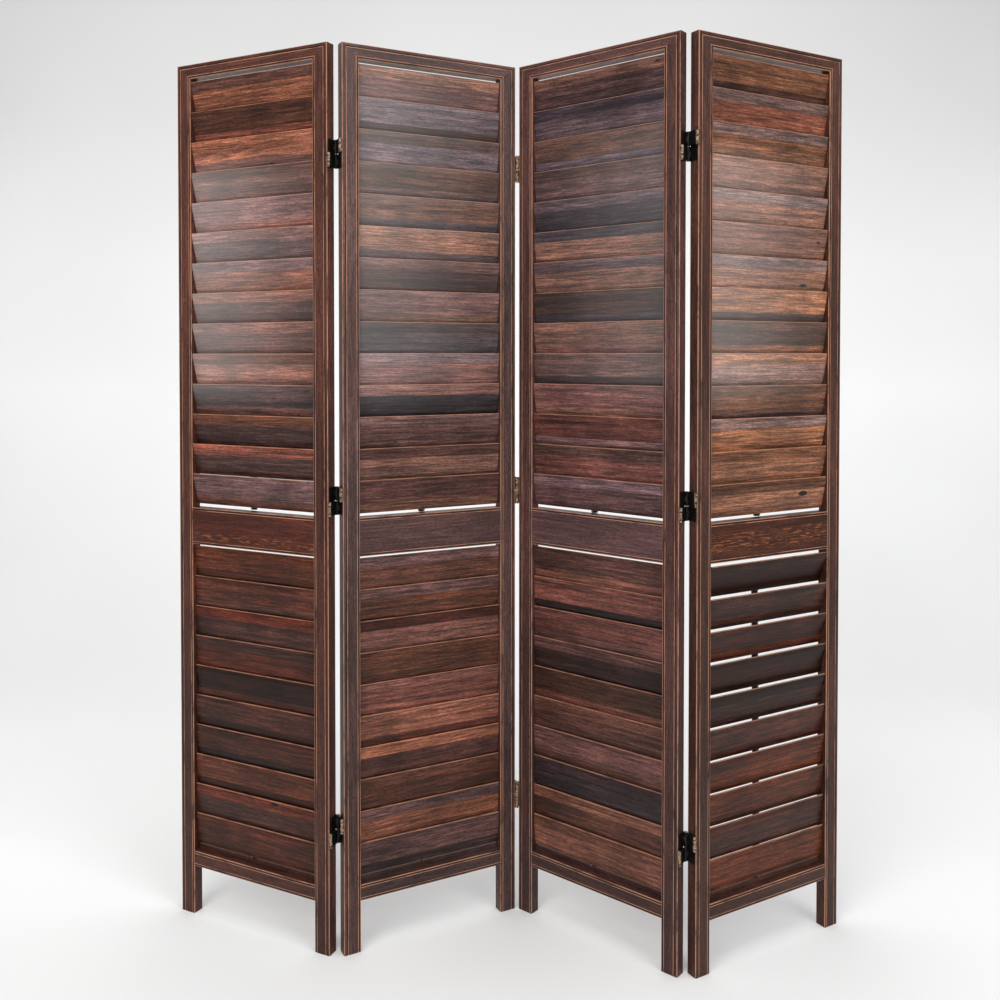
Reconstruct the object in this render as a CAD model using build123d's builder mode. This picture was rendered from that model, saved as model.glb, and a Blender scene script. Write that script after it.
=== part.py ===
"""Four-panel folding room divider screen with louvred panels, in millimetres.

The frame has +X along the screen, +Y from the front to the back and +Z up.
The origin is on the floor, at the middle of the screen's footprint.
Panels are numbered from left to right, and stand in a zigzag.
"""

from build123d import *
from dataclasses import dataclass
import math
import os

os.makedirs("parts", exist_ok=True)

# Panels
HEIGHT = 1700.0
PANEL_WIDTH = 363.0
THICKNESS = 22.5
STILE_WIDTH = 33.0
TOP_RAIL = 28.0
MIDDLE_RAIL = 73.0
BOTTOM_RAIL = 30.0
HEADINGS = (-26.75, 27.15, -39.72, 29.6)
RIDGE_FOLDS = (True, False, True)
FOOTPRINT_MIDDLE = (655.03, -105.54)

# Edge moulding on stiles and rails
EDGE_ROUND = 1.2
GROOVE_RADIUS = 0.8
OUTER_GROOVE_INSET = 6.5
INNER_GROOVE_INSET = 3.6

# Ledge along the back of the bottom rail, notched for the tilt rod
LEDGE_HEIGHT = 10.0
LEDGE_FRONT = 14.0
LEDGE_ROOT = 2.4
NOTCH_FRONT = 16.5
NOTCH_WIDTH = 16.0

# Mortise and tenon joints
TENON_LENGTH = 20.0
TENON_THICKNESS = 8.0
TENON_SHOULDER = 8.0
TOP_TENON = 8.0
TOP_TENON_DROP = 14.0
MORTISE_ROOM = 0.1
OVERCUT = 1.0

# Slats
UPPER_PITCH = 59.8
LOWER_PITCH = 60.0
CHORD = 63.5
SLAT_THICKNESS = 6.0
TIP_THICKNESS = 3.0
TIP_TAPER = 9.0
TIP_ROUND = 1.2
SLAT_END_ROOM = 1.0
UPPER_COUNT = 14
LOWER_COUNT = 10
UPPER_MARGIN = 5.75
LOWER_MARGIN = 4.0
UPPER_TILTS = (15.0, 9.0, 9.0, 12.0)
LOWER_TILTS = (5.5, 5.5, 5.5)
OPEN_TILT_TOP = 19.5
OPEN_TILT_BOTTOM = 6.3
PIVOT_RADIUS = 2.5
PIVOT_LENGTH = 8.0
PIVOT_ROOM = 0.1

# Tilt rods, stapled behind the slats' lower edges
ROD_WIDTH = 12.0
ROD_THICKNESS = 7.0
ROD_SIDE_STEP = -14.0
ROD_EDGE = 1.0
STAPLE_REACH = 3.0
ROD_STANDOFF = 3.0
ROD_TOP_END = 12.0
ROD_BOTTOM_END = 2.4

# Double-action hinges: crossed links between leaves on the stiles' edges
PANEL_GAP = 8.0
AXIS_PROUD = 0.6
HINGE_HEIGHTS = (233.0, 852.0, 1497.0)
HINGE_HALF = 26.0
HALF_GAP = 1.0
KNUCKLE_GAP = 0.3
BARREL_RADIUS = 3.4
PIN_RADIUS = 2.0
BORE_RADIUS = 2.05
PIN_END_ROUND = 0.4
LEAF_THICKNESS = 1.2
LEAF_SETBACK = 3.5
LINK_THICKNESS = 1.2
LINK_SETBACK = 3.8
SCREW_HEAD_RADIUS = 2.6
SCREW_RADIUS = 1.4
SCREW_LENGTH = 12.0
SCREW_SINK_DEPTH = 1.2
SCREW_SLOT = (0.7, 0.5)
PILOT_ROOM = 0.05

UP = Vector(0, 0, 1)
OPENING_WIDTH = PANEL_WIDTH - 2 * STILE_WIDTH
TOP_RAIL_BASE = HEIGHT - TOP_RAIL
MIDDLE_RAIL_BASE = 747.0
BOTTOM_RAIL_BASE = 97.0
STAPLE_RADIUS = CHORD / 2 + STAPLE_REACH


@dataclass
class Panel:
    """A panel's place: its front left bottom corner and its two level directions."""

    number: int
    corner: Vector
    across: Vector
    depth: Vector

    def at(self, across, depth, up):
        """The point that is so far across the panel, back from its front and up."""
        return self.corner + self.across * across + self.depth * depth + UP * up

    def level(self, up):
        """Level plane: X across the panel, Y towards its back."""
        return Plane(origin=self.at(0, 0, up), x_dir=self.across, z_dir=UP)

    def front(self):
        """Front face plane: X across the panel, Y up, Z towards the viewer."""
        return Plane(origin=self.corner, x_dir=self.across, z_dir=-self.depth)

    def right_end(self, across, up):
        """Plane across the panel: X up, Y towards its back, Z to the left."""
        return Plane(origin=self.at(across, 0, up), x_dir=UP, z_dir=-self.across)

    def left_edge(self):
        """Left edge plane: X towards the front, Y up, Z away from the panel."""
        return Plane(origin=self.corner, x_dir=-self.depth, z_dir=-self.across)

    def right_edge(self):
        """Right edge plane: X towards the back, Y up, Z away from the panel."""
        return Plane(origin=self.at(PANEL_WIDTH, 0, 0), x_dir=self.depth, z_dir=self.across)


def axis_depth(at_back):
    """How far behind the front face a hinge axis stands."""
    return THICKNESS + AXIS_PROUD if at_back else -AXIS_PROUD


def chain_of_panels():
    """The four panels, each turned about the axis that it shares with the one before."""
    panels = []
    corner = Vector(-FOOTPRINT_MIDDLE[0], -FOOTPRINT_MIDDLE[1], 0)
    for number, heading in enumerate(HEADINGS):
        turn = math.radians(heading)
        across = Vector(math.cos(turn), math.sin(turn), 0)
        depth = Vector(-math.sin(turn), math.cos(turn), 0)
        if number:
            back = axis_depth(RIDGE_FOLDS[number - 1])
            axis = panels[-1].at(PANEL_WIDTH + PANEL_GAP / 2, back, 0)
            corner = axis + across * (PANEL_GAP / 2) - depth * back
        panels.append(Panel(number + 1, corner, across, depth))
    return panels


def save(piece, label):
    """Label a finished piece and write its STEP file."""
    piece.label = label
    export_step(piece, f"parts/{label}.step")


def group(pieces):
    """Separate solids of one node."""
    with BuildPart() as together:
        add(pieces)
    return together.part


# Frames


def moulded_section(width, low_inset, high_inset):
    """A board's section: rounded corners, and a groove near each edge on both faces."""
    groove_at = [(across, face) for across in (low_inset, width - high_inset) for face in (0, THICKNESS)]
    with BuildSketch() as section:
        with Locations((width / 2, THICKNESS / 2)):
            Rectangle(width, THICKNESS)
        fillet(section.vertices(), EDGE_ROUND)
        with Locations(groove_at):
            Circle(GROOVE_RADIUS, mode=Mode.SUBTRACT)
    return section.sketch


def tenon_spans():
    """Bottom and top of each rail's tenon."""
    return {
        "bottom": (BOTTOM_RAIL_BASE + TENON_SHOULDER, BOTTOM_RAIL_BASE + BOTTOM_RAIL - TENON_SHOULDER),
        "middle": (MIDDLE_RAIL_BASE + TENON_SHOULDER, MIDDLE_RAIL_BASE + MIDDLE_RAIL - TENON_SHOULDER),
        "top": (HEIGHT - TOP_TENON_DROP - TOP_TENON, HEIGHT - TOP_TENON_DROP),
    }


def slat_heights():
    """Heights of the slats' pivots, top first, in the upper and the lower opening."""
    upper_first = TOP_RAIL_BASE - UPPER_MARGIN - CHORD / 2
    lower_first = MIDDLE_RAIL_BASE - LOWER_MARGIN - CHORD / 2
    upper = [upper_first - UPPER_PITCH * step for step in range(UPPER_COUNT)]
    lower = [lower_first - LOWER_PITCH * step for step in range(LOWER_COUNT)]
    return upper, lower


def screw_places():
    """Depth behind the front face and height of every screw on one edge of a stile."""
    for middle in HINGE_HEIGHTS:
        for side in (-1, 1):
            yield THICKNESS / 2, middle + side * (HINGE_HALF + HALF_GAP) / 2


def mitre_outline(keep_rail):
    """The part of the top left corner that a rail, or a stile, gives up at the mitre."""
    drop = OVERCUT * TOP_RAIL / STILE_WIDTH
    start = (-OVERCUT, HEIGHT + drop)
    end = (STILE_WIDTH + OVERCUT, TOP_RAIL_BASE - drop)
    far = (start[0], end[1]) if keep_rail else (end[0], start[1])
    with BuildSketch() as outline:
        with BuildLine():
            Polyline(start, end, far, close=True)
        make_face()
    return outline.sketch


def make_stile(panel, right, hinged):
    """A full-height stile, which is also a leg."""
    outer = PANEL_WIDTH if right else 0
    inner = PANEL_WIDTH - STILE_WIDTH if right else STILE_WIDTH
    inward = -1 if right else 1
    mortise_middle = inner - inward * TENON_LENGTH / 2
    upper, lower = slat_heights()
    # Sketches on this plane are cut into the stile from its inner face.
    inner_face = Plane(
        origin=panel.at(inner, 0, 0), x_dir=panel.depth * inward, z_dir=panel.across * inward
    )
    outer_face = panel.right_edge() if right else panel.left_edge()
    with BuildPart() as stile:
        with BuildSketch(panel.level(0)):
            insets = (INNER_GROOVE_INSET, OUTER_GROOVE_INSET)
            section = moulded_section(STILE_WIDTH, *(insets if right else reversed(insets)))
            add(section.moved(Location((min(outer, inner), 0, 0))))
        extrude(amount=HEIGHT)
        with BuildSketch(panel.front()):
            corner = mitre_outline(keep_rail=False)
            add(corner.mirror(Plane.YZ).moved(Location((PANEL_WIDTH, 0, 0))) if right else corner)
        extrude(amount=-THICKNESS, mode=Mode.SUBTRACT)
        for low, high in tenon_spans().values():
            with BuildSketch(panel.level(low - MORTISE_ROOM)):
                with Locations((mortise_middle, THICKNESS / 2)):
                    Rectangle(TENON_LENGTH + OVERCUT, TENON_THICKNESS + 2 * MORTISE_ROOM)
            extrude(amount=high - low + 2 * MORTISE_ROOM, mode=Mode.SUBTRACT)
        with BuildSketch(inner_face):
            with Locations([(inward * THICKNESS / 2, up) for up in upper + lower]):
                Circle(PIVOT_RADIUS + PIVOT_ROOM)
        extrude(amount=-(PIVOT_LENGTH + PIVOT_ROOM), mode=Mode.SUBTRACT)
        if hinged:
            with BuildSketch(outer_face):
                with Locations([(-inward * depth, up) for depth, up in screw_places()]):
                    Circle(SCREW_RADIUS + PILOT_ROOM)
            extrude(amount=-(SCREW_LENGTH + PILOT_ROOM), mode=Mode.SUBTRACT)
    return stile.part


def make_rail(panel, base, height, tenon, mitred):
    """A rail with a tenon at each end. The mitred one is the top rail."""
    overlap = STILE_WIDTH if mitred else 0
    right_end = PANEL_WIDTH - STILE_WIDTH + overlap
    top_inset = OUTER_GROOVE_INSET if mitred else INNER_GROOVE_INSET
    low, high = tenon
    with BuildPart() as rail:
        with BuildSketch(panel.right_end(right_end, base)):
            add(moulded_section(height, INNER_GROOVE_INSET, top_inset))
        extrude(amount=OPENING_WIDTH + 2 * overlap)
        if mitred:
            with BuildSketch(panel.front()):
                corner = mitre_outline(keep_rail=True)
                add(corner)
                add(corner.mirror(Plane.YZ).moved(Location((PANEL_WIDTH, 0, 0))))
            extrude(amount=-THICKNESS, mode=Mode.SUBTRACT)
        with BuildSketch(panel.level(low)):
            with Locations((PANEL_WIDTH / 2, THICKNESS / 2)):
                Rectangle(OPENING_WIDTH + 2 * TENON_LENGTH, TENON_THICKNESS)
        extrude(amount=high - low)
    return rail.part


def add_ledge(panel, rail):
    """The bottom rail with a ledge along its back, which shuts the gap under the last slat."""
    top = BOTTOM_RAIL_BASE + BOTTOM_RAIL
    with BuildPart() as ledged:
        add(rail)
        with BuildSketch(panel.right_end(PANEL_WIDTH - STILE_WIDTH, top - LEDGE_ROOT)):
            with Locations((0, LEDGE_FRONT)):
                Rectangle(LEDGE_ROOT + LEDGE_HEIGHT, THICKNESS - LEDGE_FRONT, align=Align.MIN)
        extrude(amount=OPENING_WIDTH)
        with BuildSketch(panel.level(top)):
            with Locations((PANEL_WIDTH / 2 + ROD_SIDE_STEP, (NOTCH_FRONT + THICKNESS) / 2)):
                Rectangle(NOTCH_WIDTH, THICKNESS - NOTCH_FRONT)
        extrude(amount=LEDGE_HEIGHT, mode=Mode.SUBTRACT)
    return ledged.part


# Louvres


def slat_section():
    """A slat's section about its pivot: flat faces, tapering to rounded edges."""
    half_chord = CHORD / 2
    half = SLAT_THICKNESS / 2
    tip = TIP_THICKNESS / 2
    body = half_chord - TIP_TAPER
    corners = [(tip, half_chord), (half, body), (half, -body), (tip, -half_chord)]
    mirrored = [(-across, along) for across, along in reversed(corners)]
    with BuildSketch() as section:
        with BuildLine():
            Polyline(*corners, *mirrored, close=True)
        make_face()
        ends = section.vertices().group_by(Axis.Y)
        fillet(ends[0] + ends[-1], TIP_ROUND)
    return section.sketch


def make_slat(panel, up, tilt):
    """One slat with a round pivot pin at each end. Tilt brings its upper edge forward."""
    turn = math.radians(tilt)
    flat_side = panel.depth * math.cos(turn) + UP * math.sin(turn)
    left_end = panel.at(STILE_WIDTH + SLAT_END_ROOM, THICKNESS / 2, up)
    length = OPENING_WIDTH - 2 * SLAT_END_ROOM
    pin_start = left_end - panel.across * PIVOT_LENGTH
    with BuildPart() as slat:
        with BuildSketch(Plane(origin=left_end, x_dir=flat_side, z_dir=panel.across)):
            add(slat_section())
        extrude(amount=length)
        with BuildSketch(Plane(origin=pin_start, x_dir=flat_side, z_dir=panel.across)):
            Circle(PIVOT_RADIUS)
        extrude(amount=length + 2 * PIVOT_LENGTH)
    return slat.part


def open_tilts():
    """Tilts of the open gang's slats, top first: its rod is straight, so their sines step evenly."""
    top = math.sin(math.radians(OPEN_TILT_TOP))
    bottom = math.sin(math.radians(OPEN_TILT_BOTTOM))
    step = (bottom - top) / (LOWER_COUNT - 1)
    return [math.degrees(math.asin(top + step * number)) for number in range(LOWER_COUNT)]


def staple_point(panel, up, tilt):
    """Middle of a slat's staple, just beyond its lower back edge."""
    turn = math.radians(tilt)
    middle = PANEL_WIDTH / 2 + ROD_SIDE_STEP
    depth = THICKNESS / 2 + STAPLE_RADIUS * math.sin(turn)
    return panel.at(middle, depth, up - STAPLE_RADIUS * math.cos(turn))


def make_tilt_rod(panel, heights, tilts):
    """A rod down the back of a gang, from its first slat's staple to its last one's."""
    top = staple_point(panel, heights[0], tilts[0])
    bottom = staple_point(panel, heights[-1], tilts[-1])
    along = (top - bottom).normalized()
    start = bottom - along * ROD_BOTTOM_END
    length = (top - bottom).length + ROD_BOTTOM_END + ROD_TOP_END
    with BuildPart() as rod:
        with BuildSketch(Plane(origin=start, x_dir=panel.across, z_dir=along)):
            with Locations((0, ROD_STANDOFF + ROD_THICKNESS / 2)):
                Rectangle(ROD_WIDTH, ROD_THICKNESS)
        extrude(amount=length)
        chamfer(rod.edges(), ROD_EDGE)
    return rod.part


# Hinges


def half_span(middle, upper):
    """Bottom and top of a hinge's upper or lower half."""
    low = middle + HALF_GAP / 2 if upper else middle - HALF_GAP / 2 - HINGE_HALF
    return low, low + HINGE_HALF


def knuckle_spans(low, outer):
    """Bottom and top of the leaf's two outer knuckles in a half, or of the link's middle one."""
    height = (HINGE_HALF - 2 * KNUCKLE_GAP) / 3
    step = height + KNUCKLE_GAP
    places = (0, 2) if outer else (1,)
    return [(low + step * place, low + step * place + height) for place in places]


def barrel_centre(right_panel, at_back):
    """A barrel's middle as distance across and depth, for a leaf on a panel's edge."""
    across = -PANEL_GAP / 2 if right_panel else PANEL_WIDTH + PANEL_GAP / 2
    return across, axis_depth(at_back)


def make_leaf(panel, right_panel, middle, upper_at_back):
    """A leaf screwed to a stile's edge, with knuckles at the back in one half, at the front in the other."""
    edge = 0 if right_panel else PANEL_WIDTH
    outward = -1 if right_panel else 1
    with BuildPart() as leaf:
        for upper in (False, True):
            at_back = upper_at_back == upper
            low, high = half_span(middle, upper)
            across, depth = barrel_centre(right_panel, at_back)
            near = LEAF_SETBACK if at_back else depth
            far = depth if at_back else THICKNESS - LEAF_SETBACK
            with BuildSketch(panel.level(low)):
                with Locations((edge + outward * LEAF_THICKNESS / 2, (near + far) / 2)):
                    Rectangle(LEAF_THICKNESS, far - near)
            extrude(amount=high - low)
            spare = knuckle_spans(low, outer=False)[0]
            for bottom, top in knuckle_spans(low, outer=True):
                with BuildSketch(panel.level(bottom)):
                    with Locations((across, depth)):
                        Circle(BARREL_RADIUS)
                extrude(amount=top - bottom)
            with BuildSketch(panel.level(spare[0] - KNUCKLE_GAP)):
                with Locations((across, depth)):
                    Circle(BARREL_RADIUS + KNUCKLE_GAP)
            extrude(amount=spare[1] - spare[0] + 2 * KNUCKLE_GAP, mode=Mode.SUBTRACT)
            with BuildSketch(panel.level(low)):
                with Locations((across, depth)):
                    Circle(BORE_RADIUS)
            extrude(amount=HINGE_HALF, mode=Mode.SUBTRACT)
        with BuildSketch(panel.level(half_span(middle, False)[1])):
            with Locations((edge + outward * LEAF_THICKNESS / 2, THICKNESS / 2)):
                Rectangle(LEAF_THICKNESS, THICKNESS - 2 * LEAF_SETBACK)
        extrude(amount=HALF_GAP)
        outside = Plane(
            origin=panel.at(edge + outward * LEAF_THICKNESS, 0, 0),
            x_dir=panel.depth * outward,
            z_dir=panel.across * outward,
        )
        places = [(outward * depth, up) for depth, up in screw_places() if abs(up - middle) < HINGE_HALF]
        with Locations(outside):
            with Locations(places):
                CounterSinkHole(SCREW_RADIUS + PILOT_ROOM, SCREW_HEAD_RADIUS + PILOT_ROOM, LEAF_THICKNESS)
    return leaf.part


def make_link(panel, right_panel, middle, upper):
    """A link between a panel's front and back pins, with one knuckle on each."""
    low, high = half_span(middle, upper)
    across, front = barrel_centre(right_panel, at_back=False)
    back = barrel_centre(right_panel, at_back=True)[1]
    bottom, top = knuckle_spans(low, outer=False)[0]
    with BuildPart() as link:
        with BuildSketch(panel.level(low)):
            with Locations((across, (front + back) / 2)):
                Rectangle(LINK_THICKNESS, back - front - 2 * LINK_SETBACK)
        extrude(amount=high - low)
        with BuildSketch(panel.level(bottom)):
            with Locations((across, (front + back) / 2)):
                Rectangle(LINK_THICKNESS, back - front)
            with Locations((across, front), (across, back)):
                Circle(BARREL_RADIUS)
            with Locations((across, front), (across, back)):
                Circle(BORE_RADIUS, mode=Mode.SUBTRACT)
        extrude(amount=top - bottom)
    return link.part


def make_pin(panel, right_panel, middle, upper, at_back):
    """A hinge pin, as long as the half that it runs through."""
    low = half_span(middle, upper)[0]
    with BuildPart() as pin:
        with BuildSketch(panel.level(low)):
            with Locations(barrel_centre(right_panel, at_back)):
                Circle(PIN_RADIUS)
        extrude(amount=HINGE_HALF)
        chamfer(pin.edges().filter_by(GeomType.CIRCLE), PIN_END_ROUND)
    return pin.part


def make_screw(panel, right_panel, depth, up):
    """A countersunk wood screw with a slot, through a leaf into the stile."""
    edge = 0 if right_panel else PANEL_WIDTH
    outward = -1 if right_panel else 1
    head = Plane(
        origin=panel.at(edge + outward * LEAF_THICKNESS, depth, up),
        x_dir=UP,
        z_dir=panel.across * outward,
    )
    with BuildPart() as screw:
        with BuildSketch(head):
            Circle(SCREW_HEAD_RADIUS)
        with BuildSketch(head.offset(-SCREW_SINK_DEPTH)):
            Circle(SCREW_RADIUS)
        loft()
        with BuildSketch(head.offset(-SCREW_SINK_DEPTH)):
            Circle(SCREW_RADIUS)
        extrude(amount=-(LEAF_THICKNESS + SCREW_LENGTH - SCREW_SINK_DEPTH))
        with BuildSketch(head):
            Rectangle(2 * SCREW_HEAD_RADIUS, SCREW_SLOT[0])
        extrude(amount=-SCREW_SLOT[1], mode=Mode.SUBTRACT)
    return screw.part


def build_frames(panels):
    """Stiles and rails."""
    spans = tenon_spans()
    rails = {
        "middle_rail": (MIDDLE_RAIL_BASE, MIDDLE_RAIL, spans["middle"], False),
        "top_rail": (TOP_RAIL_BASE, TOP_RAIL, spans["top"], True),
    }
    for panel in panels:
        name = f"panel_{panel.number}"
        save(make_stile(panel, right=False, hinged=panel.number > 1), f"{name}_left_stile")
        save(make_stile(panel, right=True, hinged=panel.number < len(panels)), f"{name}_right_stile")
        for rail, sizes in rails.items():
            save(make_rail(panel, *sizes), f"{name}_{rail}")
        bottom_rail = make_rail(panel, BOTTOM_RAIL_BASE, BOTTOM_RAIL, spans["bottom"], mitred=False)
        save(add_ledge(panel, bottom_rail), f"{name}_bottom_rail")


def build_louvres(panels):
    """Slats and tilt rods. The last panel's lower slats are nodes of their own."""
    upper, lower = slat_heights()
    for panel, upper_tilt, lower_tilt in zip(panels, UPPER_TILTS, LOWER_TILTS):
        name = f"panel_{panel.number}"
        slats = [make_slat(panel, up, upper_tilt) for up in upper]
        slats += [make_slat(panel, up, lower_tilt) for up in lower]
        save(group(slats), f"{name}_slats")
        rods = [
            make_tilt_rod(panel, upper, [upper_tilt] * UPPER_COUNT),
            make_tilt_rod(panel, lower, [lower_tilt] * LOWER_COUNT),
        ]
        save(group(rods), f"{name}_tilt_rods")
    last = panels[-1]
    name = f"panel_{last.number}"
    save(group([make_slat(last, up, UPPER_TILTS[-1]) for up in upper]), f"{name}_upper_slats")
    save(make_tilt_rod(last, upper, [UPPER_TILTS[-1]] * UPPER_COUNT), f"{name}_upper_tilt_rod")
    for number, (up, tilt) in enumerate(zip(lower, open_tilts()), start=1):
        save(make_slat(last, up, tilt), f"{name}_lower_slat_{number:02d}")
    save(make_tilt_rod(last, lower, open_tilts()), f"{name}_lower_tilt_rod")


def build_hinges(panels):
    """Three hinges at each joint. Each link rides with the panel at its far pin."""
    pins = {panel.number: [] for panel in panels}
    screws = {panel.number: [] for panel in panels}
    for joint, (left, right) in enumerate(zip(panels, panels[1:]), start=1):
        ridge = RIDGE_FOLDS[joint - 1]
        for panel, is_right in ((left, False), (right, True)):
            side = "right" if is_right else "left"
            # The upper link joins the left panel's back pin to the right panel's front pin.
            upper_at_back = not is_right
            leaves = [make_leaf(panel, is_right, middle, upper_at_back) for middle in HINGE_HEIGHTS]
            save(group(leaves), f"hinge_{joint}_{side}_leaves")
            rides_upper = is_right if ridge else not is_right
            half = "upper" if rides_upper else "lower"
            links = [make_link(panel, is_right, middle, rides_upper) for middle in HINGE_HEIGHTS]
            save(group(links), f"hinge_{joint}_{half}_links")
            pins[panel.number] += [
                make_pin(panel, is_right, middle, rides_upper, at_back)
                for middle in HINGE_HEIGHTS
                for at_back in (False, True)
            ]
            screws[panel.number] += [
                make_screw(panel, is_right, depth, up) for depth, up in screw_places()
            ]
    for panel in panels:
        save(group(pins[panel.number]), f"panel_{panel.number}_hinge_pins")
        save(group(screws[panel.number]), f"panel_{panel.number}_hinge_screws")


def main():
    panels = chain_of_panels()
    build_frames(panels)
    build_louvres(panels)
    build_hinges(panels)


main()
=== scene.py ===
"""Looks of the four-panel folding louvred screen: stained wood, dark hinges and wire staples, in metres."""

import math

import bpy
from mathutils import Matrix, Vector


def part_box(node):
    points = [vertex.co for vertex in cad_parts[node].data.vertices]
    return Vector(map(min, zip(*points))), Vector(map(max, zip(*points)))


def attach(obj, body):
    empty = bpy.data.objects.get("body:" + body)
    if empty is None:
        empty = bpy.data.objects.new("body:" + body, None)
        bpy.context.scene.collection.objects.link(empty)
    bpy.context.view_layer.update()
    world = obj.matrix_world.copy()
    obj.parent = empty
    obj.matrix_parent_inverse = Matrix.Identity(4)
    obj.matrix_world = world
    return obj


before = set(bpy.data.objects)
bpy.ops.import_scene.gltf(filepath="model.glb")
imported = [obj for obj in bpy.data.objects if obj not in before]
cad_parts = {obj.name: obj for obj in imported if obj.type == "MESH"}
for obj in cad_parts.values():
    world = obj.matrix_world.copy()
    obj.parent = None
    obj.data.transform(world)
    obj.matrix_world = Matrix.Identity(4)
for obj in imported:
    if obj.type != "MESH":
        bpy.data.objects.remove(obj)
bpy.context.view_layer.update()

MM = 0.001

# Panels, as the CAD model has them
PANELS = 4
WIDTH = 363 * MM
THICKNESS = 22.5 * MM
STILE = 33 * MM
TOP_RAIL = (1672 * MM, 1700 * MM)
MIDDLE_RAIL = (747 * MM, 820 * MM)
BOTTOM_RAIL = (97 * MM, 127 * MM)
OUTER_BEAD = 6.5 * MM
INNER_BEAD = 3.6 * MM

# Slats and their rods. Tilts are in degrees, one for each panel
PITCH = {"upper": 59.8 * MM, "lower": 60 * MM}
CHORD = 63.5 * MM
COUNTS = {"upper": 14, "lower": 10}
FIRST_PIVOT = {"upper": 1634.5 * MM, "lower": 711.25 * MM}
TILTS = {"upper": (15.0, 9.0, 9.0, 12.0), "lower": (5.5, 5.5, 5.5, None)}
OPEN_PANEL = 4  # its lower gang stands open
OPEN_TILTS = (19.5, 6.3)  # of that gang's first and last slats
ROD_STEP = -14 * MM
ROD_STANDOFF = 3 * MM

# Staples of round wire
WIRE = 0.55 * MM  # radius
STAPLE_REACH = 34.75 * MM  # from a slat's pivot
STAPLE_HALF = 1.8 * MM
STAPLE_CROWN = 0.6  # depth, as a share of the half width
STAPLE_STEPS = 6
SLAT_STAPLE_LEG = 7 * MM
ROD_STAPLE_BITE = 3 * MM

# Camera, as the photograph was taken
CAMERA_PLACE = (-0.0314, -1.9302, 1.1199)
CAMERA_TURN = math.radians(-0.118)
CAMERA_TIP = math.radians(-1.134)
CAMERA_LENS = 36.47
CAMERA_SHIFT = (0.0083, -0.1226)


class Panel:
    """Where a panel stands, from its two stiles."""

    def __init__(self, number):
        sides = []
        for side in ("left", "right"):
            low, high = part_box(f"panel_{number}_{side}_stile")
            sides.append((low + high) / 2)
        self.number = number
        self.across = (sides[1] - sides[0]).normalized()
        self.depth = Vector((-self.across.y, self.across.x, 0))
        self.heading = math.atan2(self.across.y, self.across.x)
        middle = (sides[0] + sides[1]) / 2
        self.corner = middle - self.across * WIDTH / 2 - self.depth * THICKNESS / 2
        self.corner.z = 0

    def at(self, across, depth, up):
        """A point of the panel, in the frame."""
        return self.corner + self.across * across + self.depth * depth + Vector((0, 0, up))


def pivots(gang):
    """Heights of a gang's slat pivots, top first."""
    return [FIRST_PIVOT[gang] - PITCH[gang] * step for step in range(COUNTS[gang])]


def tilts(number, gang):
    """Tilts of a gang's slats in degrees, top first. The open gang's sines change by equal steps."""
    tilt = TILTS[gang][number - 1]
    if tilt is not None:
        return [tilt] * COUNTS[gang]
    top, bottom = (math.sin(math.radians(angle)) for angle in OPEN_TILTS)
    step = (bottom - top) / (COUNTS[gang] - 1)
    return [math.degrees(math.asin(top + step * place)) for place in range(COUNTS[gang])]


# Shader building

NOISE_RANGE = (0.3, 0.7)  # where nearly all of a noise lies
LINE_CORE = 0.45  # share of a line's half width that is fully on


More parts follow.
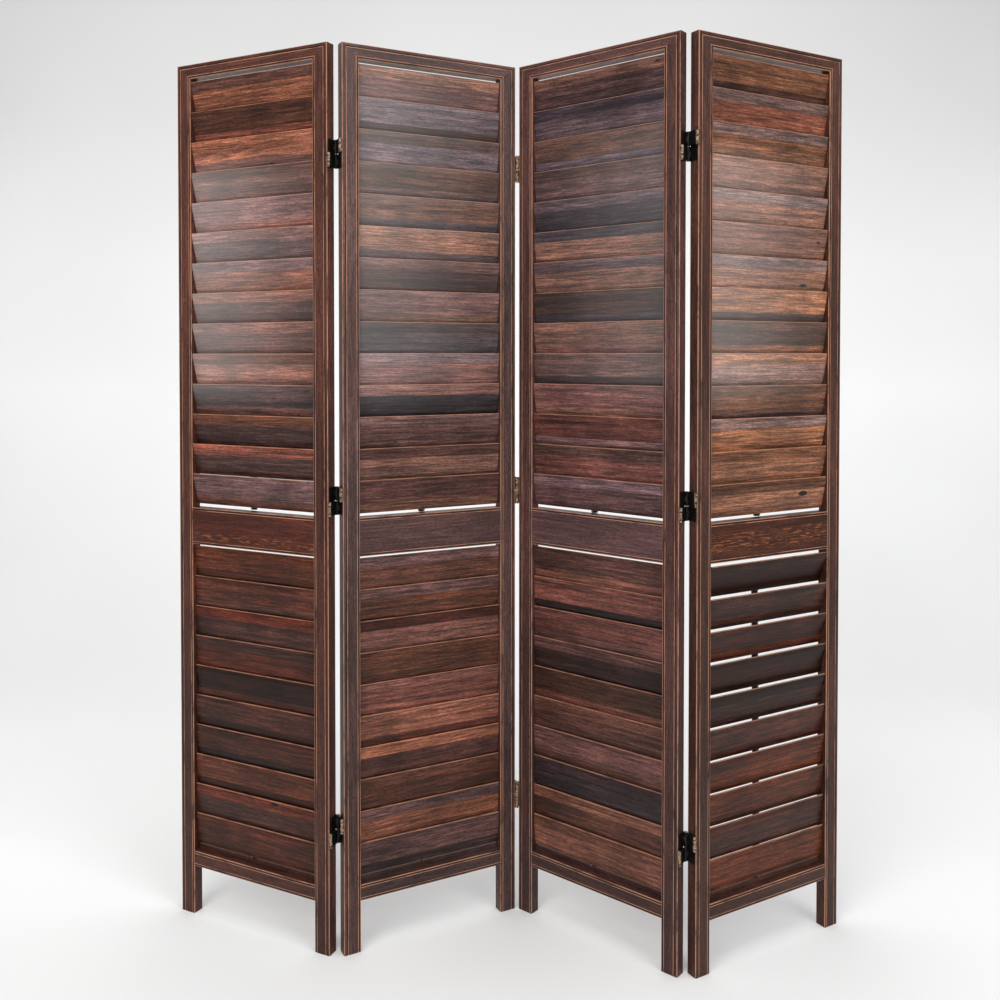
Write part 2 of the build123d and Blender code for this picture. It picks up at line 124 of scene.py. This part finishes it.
class Shader:
    """A material's node graph, with short ways to add the nodes that the wood and metal need."""

    def __init__(self, name):
        self.material = bpy.data.materials.new(name)
        self.material.use_nodes = True
        self.tree = self.material.node_tree
        self.tree.nodes.clear()
        self.surface = self.add("ShaderNodeBsdfPrincipled")
        output = self.add("ShaderNodeOutputMaterial")
        self.tree.links.new(self.surface.outputs[0], output.inputs["Surface"])

    def add(self, kind, **settings):
        """A new node with some of its settings."""
        node = self.tree.nodes.new(kind)
        for setting, value in settings.items():
            setattr(node, setting, value)
        return node

    def put(self, socket, value):
        """Link a socket to another node's output, or set its value."""
        if isinstance(value, bpy.types.NodeSocket):
            self.tree.links.new(value, socket)
        else:
            socket.default_value = value

    def set(self, **values):
        """Constants on the surface shader's own sockets."""
        for name, value in values.items():
            self.put(self.surface.inputs[name.replace("_", " ")], value)

    def math(self, operation, *values):
        node = self.add("ShaderNodeMath", operation=operation)
        for socket, value in zip(node.inputs, values):
            self.put(socket, value)
        return node.outputs[0]

    def times(self, first, *others):
        """Numbers multiplied together."""
        for other in others:
            first = self.math("MULTIPLY", first, other)
        return first

    def largest(self, first, *others):
        for other in others:
            first = self.math("MAXIMUM", first, other)
        return first

    def span(self, value, low, high, start=0.0, end=1.0):
        """Smooth step from start at low to end at high."""
        node = self.add("ShaderNodeMapRange", interpolation_type="SMOOTHSTEP")
        for socket, setting in zip(node.inputs, (value, low, high, start, end)):
            self.put(socket, setting)
        return node.outputs[0]

    def swing(self, noise, share):
        """A noise as a factor between 1 - share and 1 + share."""
        return self.span(noise, *NOISE_RANGE, 1.0 - share, 1.0 + share)

    def line(self, value, place, half):
        """1 on a line at place, falling to 0 at half its width."""
        away = self.math("ABSOLUTE", self.math("SUBTRACT", value, place))
        return self.span(away, half * LINE_CORE, half, 1.0, 0.0)

    def vector(self, x, y, z):
        node = self.add("ShaderNodeCombineXYZ")
        for socket, value in zip(node.inputs, (x, y, z)):
            self.put(socket, value)
        return node.outputs[0]

    def local(self, panel):
        """Across, depth and height in a panel's own directions."""
        place = self.add("ShaderNodeTexCoord").outputs["Object"]
        turn = self.add("ShaderNodeMapping", vector_type="TEXTURE")
        self.put(turn.inputs["Vector"], place)
        self.put(turn.inputs["Location"], panel.corner)
        self.put(turn.inputs["Rotation"], (0, 0, panel.heading))
        split = self.add("ShaderNodeSeparateXYZ")
        self.put(split.inputs[0], turn.outputs[0])
        return split.outputs

    def noise(self, vector, scale=1.0, detail=3.0, roughness=0.55, distortion=0.0):
        node = self.add("ShaderNodeTexNoise")
        self.put(node.inputs["Vector"], vector)
        self.put(node.inputs["Scale"], scale)
        self.put(node.inputs["Detail"], detail)
        self.put(node.inputs["Roughness"], roughness)
        self.put(node.inputs["Distortion"], distortion)
        return node.outputs["Fac"]

    def chance(self, x, y, z):
        """A steady random number from 0 to 1 for each whole x, y and z."""
        node = self.add("ShaderNodeTexWhiteNoise", noise_dimensions="3D")
        self.put(node.inputs["Vector"], self.vector(x, y, z))
        return node.outputs["Value"]

    def colours(self, value, stops):
        """The colour at a value, between stops of a place and a colour each."""
        node = self.add("ShaderNodeValToRGB")
        elements = node.color_ramp.elements
        while len(elements) < len(stops):
            elements.new(0.5)
        for element, (place, colour) in zip(elements, stops):
            element.position = place
            element.color = (*colour, 1)
        self.put(node.inputs[0], value)
        return node.outputs[0]

    def mix(self, share, first, second, blend="MIX"):
        """Two colours blended."""
        node = self.add("ShaderNodeMix", data_type="RGBA", blend_type=blend)
        for place, value in ((0, share), (6, first), (7, second)):
            self.put(node.inputs[place], (*value, 1) if isinstance(value, tuple) else value)
        return node.outputs[2]

    def choose(self, share, first, second):
        """The first number where share is 0, the second where it is 1."""
        node = self.add("ShaderNodeMix", data_type="FLOAT")
        for place, value in ((0, share), (2, first), (3, second)):
            self.put(node.inputs[place], value)
        return node.outputs[0]

    def scaled(self, colour, value):
        """A colour times a number."""
        return self.mix(1.0, colour, self.vector(value, value, value), "MULTIPLY")

    def bump(self, height, distance):
        """Relief in the surface shader's normal."""
        node = self.add("ShaderNodeBump")
        self.put(node.inputs["Height"], height)
        self.put(node.inputs["Strength"], 1.0)
        self.put(node.inputs["Distance"], distance)
        self.put(self.surface.inputs["Normal"], node.outputs[0])


# Wood colours: each panel's stiles and outer rails, its middle rail, and its slats
FRAME_COLOUR = ((0.078, 0.028, 0.020), (0.088, 0.047, 0.042), (0.078, 0.034, 0.030), (0.068, 0.028, 0.020))
MIDDLE_COLOUR = ((0.084, 0.022, 0.014), (0.080, 0.039, 0.036), (0.122, 0.061, 0.062), (0.054, 0.015, 0.008))
SLAT_COLOUR = {
    "upper": ((0.150, 0.062, 0.049), (0.125, 0.066, 0.060), (0.100, 0.053, 0.054), (0.170, 0.080, 0.056)),
    "lower": ((0.058, 0.017, 0.010), (0.100, 0.041, 0.032), (0.079, 0.035, 0.031), (0.053, 0.015, 0.008)),
}
# Colour of rubbed wear; on the slats' long edges the same colour is also a painted highlight
WEAR_AND_HIGHLIGHT_COLOUR = (0.62, 0.31, 0.19)
FLAME = (0.34, 0.115, 0.040)
GROOVE = (0.010, 0.005, 0.004)

# Tints that the slats' strips vary between
COOL = (0.38, 0.48, 0.60)
EVEN = (0.5, 0.5, 0.5)
RED = (0.60, 0.38, 0.30)
ORANGE = (0.70, 0.60, 0.43)
STRIP_TINTS = ((0.12, COOL), (0.3, EVEN), (0.5, RED), (0.6, EVEN), (0.8, ORANGE))
TINT_GAIN = 1.8
STRIP_TONES = (0.3, 1.76)  # darkest and lightest
STRIP_SEAMS = (-13 * MM, 11 * MM)  # above a slat's middle; each slat has one of the two
HIGH_SEAM_FROM = 0.45  # of the slat's random number

# Painted sheen on the upper slats, a pale patch added to the colour in place of a light's reflection, by
# panel:
# how strong, negative where it is strongest at the left, and the heights between which it ends
PAINTED_SHEEN = (-0.18, -0.10, 0.07, -0.14)
PAINTED_SHEEN_TOP = ((1.46, 1.53), (1.6, 1.75), (1.5, 1.6), (1.46, 1.53))
PAINTED_SHEEN_BOTTOM = (1.0, 1.1)
PAINTED_SHEEN_COLOUR = (0.95, 0.94, 0.92)

# Orange figure on the middle rails, by panel: the heights it lies between
MIDDLE_FLAMES = {1: (755 * MM, 775 * MM), 4: (758 * MM, 806 * MM)}

# Repeats of the grain per metre along a board, across it and into it
STREAKS = (4.0, 130.0, 60.0)
FIBRES = (24.0, 480.0, 250.0)
FLECKS = (130.0, 620.0, 400.0)
FLOW = (1.7, 22.0, 22.0)
RINGS = 13.0  # in one step of the flow

# Repeats per metre of the slower or rarer variation: along a board and across it, or along it only
PATCHES = (3.0, 9.0)
FLAMES = (38.0, 420.0)
FRAME_RUBBING = (16.0, 90.0)
KNOTS = (24.0, 60.0)
CLOUDS = 7.0
SLAT_WEAR_AND_HIGHLIGHT_REPEATS = 20.0

# How much the streaks and the fibres change the tone
FRAME_GRAIN = (0.2, 0.3)
SLAT_GRAIN = (0.42, 0.5)

# Finish
WOOD_IOR = 1.5
SHINE = 0.2
FRAME_ROUGHNESS = 0.42
SLAT_ROUGHNESS = 0.38
WORN_ROUGHNESS = 0.6
GRAIN_RELIEF = 0.3 * MM

# Grooves and rubbed lines: half widths, and the lines' distances inward from an edge or a groove
GROOVE_HALF = 1.2 * MM
RIM_LINE, RIM_HALF = 0.5 * MM, 1.0 * MM
BEAD_LINE, BEAD_HALF = 1.5 * MM, 0.9 * MM
FRAME_WEAR_DEPTH = (1.8 * MM, 0.9 * MM)  # under the face, where the rubbing starts and where it is full
# The slats' edge lines are partly rubbed wear and partly a painted highlight
SLAT_WEAR_AND_HIGHLIGHT_DEPTH = (1.2 * MM, 0.6 * MM)  # the same, in from a slat's long edges

# How fully each of them covers the wood
GROOVE_COVER = 0.92
FRAME_WEAR_COVER = 0.7
SLAT_WEAR_AND_HIGHLIGHT_COVER = 0.55
FLAME_COVER = 0.8
ROD_SPAN = (-1.0, 2.0)  # edges far outside the panel, so a rod gets no rubbed lines or grooves

# Share of a pitch that a slat's chord takes on the slanted scale that tells slats apart
SLAT_SHARE = 0.93
LOWER_GANG_INDEX = 40.0  # added to the lower slats' numbers, so that none is an upper slat's too


def wood_figure(shader, along, cross, deep, seed):
    """Broad streaks, fine fibres, short flecks and growth rings of a board, each from 0 to 1."""
    offset = shader.math("ADD", along, seed)

    def grain(repeats, detail, distortion=0.0):
        lengthwise, crosswise, inward = repeats
        place = shader.vector(
            shader.times(offset, lengthwise),
            shader.times(cross, crosswise),
            shader.times(deep, inward),
        )
        return shader.noise(place, 1.0, detail, 0.6, distortion)

    streaks = grain(STREAKS, 3.0, 0.4)
    fibres = grain(FIBRES, 2.0)
    flecks = grain(FLECKS, 1.0)
    rings = shader.math("FRACT", shader.times(grain(FLOW, 1.0, 0.2), RINGS))
    return streaks, fibres, flecks, rings


def grained(shader, colour, figure, streak_share, fibre_share):
    """A colour made lighter and warmer along the streaks, and darker between the fibres."""
    streaks, fibres, flecks, rings = figure
    warmth = shader.colours(streaks, ((0.3, (0.47, 0.5, 0.52)), (0.7, (0.54, 0.5, 0.46))))
    colour = shader.scaled(shader.mix(1.0, colour, warmth, "MULTIPLY"), 2.0)
    colour = shader.scaled(colour, shader.span(streaks, 0.28, 0.72, 1.0 - streak_share, 1.0 + streak_share))
    colour = shader.scaled(colour, shader.swing(fibres, fibre_share))
    colour = shader.scaled(colour, shader.swing(flecks, 0.3))
    return shader.scaled(colour, shader.span(rings, 0.0, 1.0, 0.85, 1.15))


def finish_wood(shader, colour, figure, worn, rough):
    """Colour, grain relief and a satin finish that is duller where it is worn."""
    streaks, fibres, _, _ = figure
    uneven = shader.span(streaks, *NOISE_RANGE, rough - 0.06, rough + 0.08)
    roughness = shader.largest(uneven, shader.times(worn, WORN_ROUGHNESS))
    relief = shader.math("ADD", shader.times(fibres, 0.6), shader.times(streaks, 0.4))
    shader.set(Base_Color=colour, Roughness=roughness, IOR=WOOD_IOR, Specular_IOR_Level=SHINE)
    shader.bump(relief, GRAIN_RELIEF)


def near_face(shader, depth, start, full):
    """0 at start metres under a panel's front or back plane, 1 at full. Negative is proud of it."""
    from_middle = shader.math("ABSOLUTE", shader.math("SUBTRACT", depth, THICKNESS / 2))
    return shader.span(from_middle, THICKNESS / 2 - start, THICKNESS / 2 - full)


def flame_figure(shader, along, cross, flames, seed):
    """Share of the orange figure, in a band between two heights."""
    bottom, top = flames
    lengthwise, crosswise = FLAMES
    place = shader.vector(shader.times(along, lengthwise), shader.times(cross, crosswise), seed)
    band = shader.line(cross, (bottom + top) / 2, (top - bottom) / 2)
    tongues = shader.span(shader.noise(place, 1.0, 3.0, 0.6, 0.9), 0.53, 0.62)
    return shader.times(band, tongues, FLAME_COVER)


def frame_wood(name, panel, base, upright, low, high, low_bead, high_bead, seed, flames=None):
    """A stile's or rail's wood: grain along it, dark grooves, and edges rubbed to copper.

    low and high are its edges across the grain, and each bead is a groove's distance in from one.
    """
    shader = Shader(name)
    across, depth, up = shader.local(panel)
    along, cross = (up, across) if upright else (across, up)
    figure = wood_figure(shader, along, cross, depth, seed)
    colour = grained(shader, base, figure, *FRAME_GRAIN)
    patch_at = shader.vector(shader.times(along, PATCHES[0]), seed, shader.times(cross, PATCHES[1]))
    patch = shader.span(shader.noise(patch_at, 1.0, 2.0), *NOISE_RANGE, 0.72, 1.25)
    # Painted sheen: the wood is made lighter towards the top and darker towards the bottom, for how the
    # light falls on it
    painted_sheen_by_height = shader.span(up, 0.1, 1.5, 0.72, 1.15)
    colour = shader.scaled(colour, shader.times(patch, painted_sheen_by_height))
    if flames:
        colour = shader.mix(flame_figure(shader, along, cross, flames, seed), colour, FLAME)
    lines = shader.largest(
        shader.line(cross, low + RIM_LINE, RIM_HALF),
        shader.line(cross, low + low_bead + BEAD_LINE, BEAD_HALF),
        shader.line(cross, high - high_bead - BEAD_LINE, BEAD_HALF),
        shader.line(cross, high - RIM_LINE, RIM_HALF),
    )
    lengthwise, crosswise = FRAME_RUBBING
    wear_at = shader.vector(shader.times(along, lengthwise), shader.times(cross, crosswise), seed)
    rubbed = shader.span(shader.noise(wear_at, 1.0, 4.0, 0.7), 0.32, 0.55, 0.15, 1.0)
    worn = shader.times(lines, near_face(shader, depth, *FRAME_WEAR_DEPTH), rubbed)
    grooves = shader.largest(
        shader.line(cross, low + low_bead, GROOVE_HALF), shader.line(cross, high - high_bead, GROOVE_HALF)
    )
    colour = shader.mix(shader.times(grooves, GROOVE_COVER), colour, GROOVE)
    colour = shader.mix(shader.times(worn, FRAME_WEAR_COVER), colour, WEAR_AND_HIGHLIGHT_COLOUR)
    finish_wood(shader, colour, figure, worn, FRAME_ROUGHNESS)
    return shader.material


def slat_place(shader, up, back, first, pitch, tilt):
    """A slat's number from the top of its gang, and the height above its middle along its face."""
    turn = math.radians(tilt)
    slope = (math.cos(turn) - pitch * SLAT_SHARE / CHORD) / math.sin(turn)
    level = shader.math("ADD", up, shader.times(back, slope))
    steps = shader.math("DIVIDE", shader.math("SUBTRACT", first + pitch / 2, level), pitch)
    index = shader.math("FLOOR", steps)
    rise = shader.math("SUBTRACT", up, shader.math("SUBTRACT", first, shader.times(index, pitch)))
    height = shader.math("SUBTRACT", shader.times(rise, math.cos(turn)), shader.times(back, math.sin(turn)))
    return index, height


def painted_sheen_share(shader, across, up, number):
    """Share of the painted sheen, a light's reflection painted into the colour: strongest at one side, and
    only between two heights.
    """
    strength = PAINTED_SHEEN[number - 1]
    sides = (STILE, WIDTH - STILE) if strength < 0 else (WIDTH - STILE, STILE)
    sideways = shader.span(across, *sides, 1.0, 0.2)
    above = shader.span(up, *PAINTED_SHEEN_BOTTOM)
    below = shader.span(up, *PAINTED_SHEEN_TOP[number - 1], 1.0, 0.0)
    return shader.times(sideways, shader.times(above, below), abs(strength))


def slat_wood(name, panel, gangs, seed):
    """Slats glued up from two strips. Each slat, and each strip, has its own tone and figure.

    gangs lists, from the top down, each gang's first pivot height, pitch, tilt and mean colour.
    """
    shader = Shader(name)
    across, depth, up = shader.local(panel)
    back = shader.math("SUBTRACT", depth, THICKNESS / 2)
    (*upper, base), *others = gangs
    index, height = slat_place(shader, up, back, *upper)
    for *lower, colour in others:
        below = shader.math("LESS_THAN", up, sum(MIDDLE_RAIL) / 2)
        lower_index, lower_height = slat_place(shader, up, back, *lower)
        index = shader.choose(below, index, shader.math("ADD", lower_index, LOWER_GANG_INDEX))
        height = shader.choose(below, height, lower_height)
        base = shader.mix(below, base, colour)
    high_seam = shader.math("GREATER_THAN", shader.chance(index, 3.0, seed), HIGH_SEAM_FROM)
    strip = shader.math("GREATER_THAN", height, shader.choose(high_seam, *STRIP_SEAMS))
    tone = shader.choose(shader.chance(index, shader.math("ADD", strip, 7.0), seed), *STRIP_TONES)
    hue = shader.chance(index, shader.math("ADD", strip, 21.0), seed)
    shift = shader.times(shader.chance(index, strip, seed + 0.5), 9.0)
    figure = wood_figure(shader, across, up, depth, shift)
    tint = shader.colours(hue, STRIP_TINTS)
    colour = shader.scaled(shader.mix(1.0, base, tint, "MULTIPLY"), TINT_GAIN)
    colour = grained(shader, colour, figure, *SLAT_GRAIN)
    cloud = shader.noise(shader.vector(shader.times(across, CLOUDS), index, seed), 1.0, 2.0)
    colour = shader.scaled(colour, shader.times(shader.swing(cloud, 0.28), tone))
    knot_at = shader.vector(shader.times(across, KNOTS[0]), shader.times(up, KNOTS[1]), seed)
    colour = shader.mix(shader.span(shader.noise(knot_at, 1.0, 0.0), 0.84, 0.9), colour, GROOVE)
    # Painted sheen: a pale colour is added where a light's reflection would show on the slats
    colour = shader.mix(painted_sheen_share(shader, across, up, panel.number), colour, PAINTED_SHEEN_COLOUR, "ADD")
    # Light lines along each slat's long edges: partly rubbed wear, partly a painted highlight where the
    # rounded edges catch the light
    start, full = SLAT_WEAR_AND_HIGHLIGHT_DEPTH
    edge = shader.span(shader.math("ABSOLUTE", height), CHORD / 2 - start, CHORD / 2 - full)
    wear_at = shader.vector(shader.times(across, SLAT_WEAR_AND_HIGHLIGHT_REPEATS), index, seed)
    worn = shader.times(edge, shader.span(shader.noise(wear_at, 1.0, 3.0), 0.3, 0.6, 0.3, 1.0))
    colour = shader.mix(shader.times(worn, SLAT_WEAR_AND_HIGHLIGHT_COVER), colour, WEAR_AND_HIGHLIGHT_COLOUR)
    finish_wood(shader, colour, figure, worn, SLAT_ROUGHNESS)
    return shader.material


def dress(node, material):
    """Give a CAD node's object its material."""
    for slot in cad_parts[node].material_slots:
        slot.material = material


def dress_frame(panel):
    """A panel's stiles, rails and tilt rods."""
    number = panel.number
    name = f"panel_{number}"
    frame_colour = FRAME_COLOUR[number - 1]
    stiles = {
        "left": (0.0, STILE, OUTER_BEAD, INNER_BEAD),
        "right": (WIDTH - STILE, WIDTH, INNER_BEAD, OUTER_BEAD),
    }
    for side, sizes in stiles.items():
        seed = number * 5.0 + sizes[0]
        wood = frame_wood(f"{name}_{side}_stile_wood", panel, frame_colour, True, *sizes, seed)
        dress(f"{name}_{side}_stile", wood)
    rails = {
        "top": (*TOP_RAIL, INNER_BEAD, OUTER_BEAD),
        "middle": (*MIDDLE_RAIL, INNER_BEAD, INNER_BEAD),
        "bottom": (*BOTTOM_RAIL, INNER_BEAD, INNER_BEAD),
    }
    for place, (rail, sizes) in enumerate(rails.items()):
        base = MIDDLE_COLOUR[number - 1] if rail == "middle" else frame_colour
        flames = MIDDLE_FLAMES.get(number) if rail == "middle" else None
        seed = number * 3.0 + place
        wood = frame_wood(f"{name}_{rail}_rail_wood", panel, base, False, *sizes, seed, flames)
        dress(f"{name}_{rail}_rail", wood)
    wood = frame_wood(f"{name}_rod_wood", panel, frame_colour, True, *ROD_SPAN, 0.0, 0.0, number * 7.0)
    rods = ("upper_tilt_rod", "lower_tilt_rod") if number == OPEN_PANEL else ("tilt_rods",)
    for rod in rods:
        dress(f"{name}_{rod}", wood)


def dress_slats(panel):
    """A panel's slats. The open gang's slats are separate nodes, each at its own tilt."""
    number = panel.number
    name = f"panel_{number}"
    gangs = [
        (FIRST_PIVOT[gang], PITCH[gang], TILTS[gang][number - 1], SLAT_COLOUR[gang][number - 1])
        for gang in COUNTS
    ]
    seed = number * 1.0
    if number != OPEN_PANEL:
        dress(f"{name}_slats", slat_wood(f"{name}_slat_wood", panel, gangs, seed))
        return
    upper, (first, pitch, _, colour) = gangs
    dress(f"{name}_upper_slats", slat_wood(f"{name}_upper_slat_wood", panel, [upper], seed))
    for place, tilt in enumerate(tilts(number, "lower"), start=1):
        label = f"{name}_lower_slat_{place:02d}"
        dress(label, slat_wood(f"{label}_wood", panel, [(first, pitch, tilt, colour)], seed + 11))


# Metal

BLACK = (0.014, 0.013, 0.0125)
BRONZE = (0.42, 0.27, 0.17)
STEEL = (0.30, 0.29, 0.28)
GRIME_REPEATS = 260.0
GRIME_RELIEF = 0.05 * MM
PROUD = 2.2 * MM  # bare metal starts this far under the face and is full this far above it


def metal(name, panel, base, bare, rough, metallic, bare_edges=False):
    """Metal that shows bare in spots, or where it stands out at the front and back."""
    shader = Shader(name)
    across, depth, up = shader.local(panel)
    grime = shader.noise(shader.vector(across, depth, up), GRIME_REPEATS, 4.0, 0.65)
    if bare_edges:
        spots = shader.span(grime, 0.42, 0.58, 0.1, 1.0)
        share = shader.times(near_face(shader, depth, PROUD, -PROUD), spots)
    else:
        share = shader.span(grime, 0.6, 0.8, 0.0, 0.5)
    colour = shader.scaled(shader.mix(share, base, bare), shader.span(grime, 0.2, 0.8, 0.7, 1.3))
    roughness = shader.span(grime, 0.25, 0.75, rough - 0.1, rough + 0.15)
    shader.set(Base_Color=colour, Roughness=roughness, Metallic=metallic)
    shader.bump(grime, GRIME_RELIEF)
    return shader.material


def dress_hinges(panels):
    """Leaves, links, pins and screws."""
    for joint, (left, right) in enumerate(zip(panels, panels[1:]), start=1):
        ridge = joint != 2  # its fold points forward
        owners = {
            "left_leaves": left,
            "right_leaves": right,
            "upper_links": right if ridge else left,
            "lower_links": left if ridge else right,
        }
        for part, panel in owners.items():
            node = f"hinge_{joint}_{part}"
            coat = metal(f"{node}_metal", panel, BLACK, BRONZE, rough=0.4, metallic=0.7, bare_edges=True)
            dress(node, coat)
    for panel in panels:
        name = f"panel_{panel.number}_hinge"
        dress(f"{name}_pins", metal(f"{name}_pin_metal", panel, BRONZE, BLACK, rough=0.4, metallic=0.8))
        dress(f"{name}_screws", metal(f"{name}_screw_metal", panel, BLACK, STEEL, rough=0.35, metallic=0.8))


# Staples


def wire_mesh(name, paths, material, body):
    """Round wire along each path of points, as one piece on a body."""
    curve = bpy.data.curves.new(name, "CURVE")
    curve.dimensions = "3D"
    curve.bevel_depth = WIRE
    curve.bevel_resolution = 2
    curve.use_fill_caps = True
    for points in paths:
        spline = curve.splines.new("POLY")
        spline.points.add(len(points) - 1)
        for target, point in zip(spline.points, points):
            target.co = (*point, 1)
    holder = bpy.data.objects.new(name, curve)
    bpy.context.scene.collection.objects.link(holder)
    bpy.context.view_layer.update()
    mesh = bpy.data.meshes.new_from_object(holder)
    bpy.data.objects.remove(holder)
    mesh.name = name
    piece = bpy.data.objects.new(name, mesh)
    bpy.context.scene.collection.objects.link(piece)
    mesh.materials.clear()
    mesh.materials.append(material)
    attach(piece, body)


def staple_path(middle, outward, side, leg):
    """A U of wire: its round crown reaches outward, and its legs run back from it."""
    points = [middle - outward * leg - side * STAPLE_HALF]
    for step in range(STAPLE_STEPS + 1):
        angle = math.pi * (step / STAPLE_STEPS - 0.5)
        reach = STAPLE_HALF * STAPLE_CROWN * math.cos(angle)
        points.append(middle + side * STAPLE_HALF * math.sin(angle) + outward * reach)
    points.append(middle - outward * leg + side * STAPLE_HALF)
    return points


def make_staples(panel, gang, material):
    """The interlocked staples of one gang: one in each slat, and one in the rod for each slat."""
    number = panel.number
    spots, slat_paths = [], []
    for up, tilt in zip(pivots(gang), tilts(number, gang)):
        turn = math.radians(tilt)
        down = panel.depth * math.sin(turn) - Vector((0, 0, math.cos(turn)))
        pivot = panel.at(WIDTH / 2 + ROD_STEP, THICKNESS / 2, up)
        spots.append(pivot + down * STAPLE_REACH)
        crown = pivot + down * (STAPLE_REACH - WIRE)
        slat_paths.append(staple_path(crown, down, panel.across, SLAT_STAPLE_LEG))
    along = (spots[0] - spots[-1]).normalized()
    towards = panel.across.cross(along)
    if towards.dot(panel.depth) > 0:
        towards = -towards
    leg = ROD_STANDOFF + ROD_STAPLE_BITE
    rod_paths = [staple_path(spot - towards * WIRE, towards, along, leg) for spot in spots]
    name = f"panel_{number}_{gang}"
    if number == OPEN_PANEL and gang == "lower":
        for place, path in enumerate(slat_paths, start=1):
            wire_mesh(f"{name}_slat_staple_{place:02d}", [path], material, f"lower_slat_{place:02d}")
        wire_mesh(f"{name}_rod_staples", rod_paths, material, "lower_tilt_rod")
    else:
        wire_mesh(f"{name}_slat_staples", slat_paths, material, f"panel_{number}")
        wire_mesh(f"{name}_rod_staples", rod_paths, material, f"panel_{number}")


# Studio

BACKDROP_REACH = 7.0  # to each side, and forward
BACKDROP_WALL = 2.6  # behind the middle
BACKDROP_TOP = 6.0
COVE_RADIUS = 1.2
COVE_STEPS = 24
# Painted light on the backdrop: its colour by height stands in for how the lamps light it, lightest about a
# metre up and darker high up the wall
BACKDROP_PAINTED_LIGHT_TONES = ((0.0, 0.84), (0.1, 0.86), (0.35, 0.94), (0.55, 0.87), (0.8, 0.69), (1.0, 0.60))
TONES_TOP = 2.8  # height of the last tone
WARMTH = 0.995
WORLD_COLOUR = (0.97, 0.98, 1.0, 1)
WORLD_STRENGTH = 0.42

# Each light's place, target, size, power and colour
LIGHTS = {
    "key": ((-1.9, -3.2, 3.4), (0, 0, 0.9), (2.2, 2.2), 70, (1.0, 0.985, 0.96)),
    "fill": ((2.6, -2.8, 2.6), (0, 0, 0.9), (2.2, 2.2), 50, (0.97, 0.985, 1.0)),
    "overhead": ((0, -0.6, 4.6), (0, -0.3, 0), (5.0, 3.0), 105, (1, 1, 1)),
    "backdrop_light": ((0, 0.9, 3.8), (0, 2.4, 0.8), (4.5, 0.8), 18, (1, 1, 1)),
}


def backdrop_material():
    """Matt paper whose colour is darker high up the wall, as in the photograph: painted light and shade for
    how the lamps light it.
    """
    shader = Shader("studio_paper")
    place = shader.add("ShaderNodeTexCoord").outputs["Object"]
    split = shader.add("ShaderNodeSeparateXYZ")
    shader.put(split.inputs[0], place)
    stops = [(at, (tone, tone, tone * WARMTH)) for at, tone in BACKDROP_PAINTED_LIGHT_TONES]
    colour = shader.colours(shader.math("DIVIDE", split.outputs["Z"], TONES_TOP), stops)
    mottle = shader.swing(shader.noise(place, 0.8, 2.0), 0.02)
    shader.set(Base_Color=shader.scaled(colour, mottle), Roughness=0.9)
    return shader.material


def make_backdrop():
    """A pale floor that curves up into a wall."""
    cove = BACKDROP_WALL - COVE_RADIUS
    profile = [(-BACKDROP_REACH, 0.0), (cove, 0.0)]
    for step in range(1, COVE_STEPS + 1):
        angle = math.pi / 2 * step / COVE_STEPS
        profile.append((cove + COVE_RADIUS * math.sin(angle), COVE_RADIUS - COVE_RADIUS * math.cos(angle)))
    profile.append((BACKDROP_WALL, BACKDROP_TOP))
    vertices = [(side * BACKDROP_REACH, y, z) for y, z in profile for side in (-1, 1)]
    faces = [(2 * n, 2 * n + 1, 2 * n + 3, 2 * n + 2) for n in range(len(profile) - 1)]
    mesh = bpy.data.meshes.new("backdrop")
    mesh.from_pydata(vertices, [], faces)
    for face in mesh.polygons:
        face.use_smooth = True
    mesh.materials.append(backdrop_material())
    backdrop = bpy.data.objects.new("backdrop", mesh)
    bpy.context.scene.collection.objects.link(backdrop)


def add_light(name, place, target, size, power, colour):
    """A rectangular light facing its target."""
    light = bpy.data.lights.new(name, "AREA")
    light.shape = "RECTANGLE"
    light.size, light.size_y = size
    light.energy = power
    light.color = colour
    holder = bpy.data.objects.new(name, light)
    holder.location = place
    holder.rotation_euler = (Vector(target) - Vector(place)).to_track_quat("-Z", "Y").to_euler()
    bpy.context.scene.collection.objects.link(holder)


def make_studio():
    """Backdrop, world and lights."""
    make_backdrop()
    world = bpy.data.worlds.new("studio")
    world.use_nodes = True
    background = world.node_tree.nodes["Background"]
    background.inputs["Color"].default_value = WORLD_COLOUR
    background.inputs["Strength"].default_value = WORLD_STRENGTH
    bpy.context.scene.world = world
    for name, settings in LIGHTS.items():
        add_light(name, *settings)
    bpy.context.scene.view_settings.view_transform = "Standard"


def make_camera():
    data = bpy.data.cameras.new("camera")
    data.lens = CAMERA_LENS
    data.shift_x, data.shift_y = CAMERA_SHIFT
    camera = bpy.data.objects.new("camera", data)
    camera.location = CAMERA_PLACE
    camera.rotation_euler = (math.pi / 2 + CAMERA_TIP, 0, CAMERA_TURN)
    bpy.context.scene.collection.objects.link(camera)
    bpy.context.scene.camera = camera


def main():
    make_camera()
    make_studio()
    panels = [Panel(number) for number in range(1, PANELS + 1)]
    for panel in panels:
        dress_frame(panel)
        dress_slats(panel)
    dress_hinges(panels)
    wire = metal("staple_wire", panels[0], STEEL, BLACK, rough=0.4, metallic=0.9)
    for panel in panels:
        for gang in COUNTS:
            make_staples(panel, gang, wire)


main()
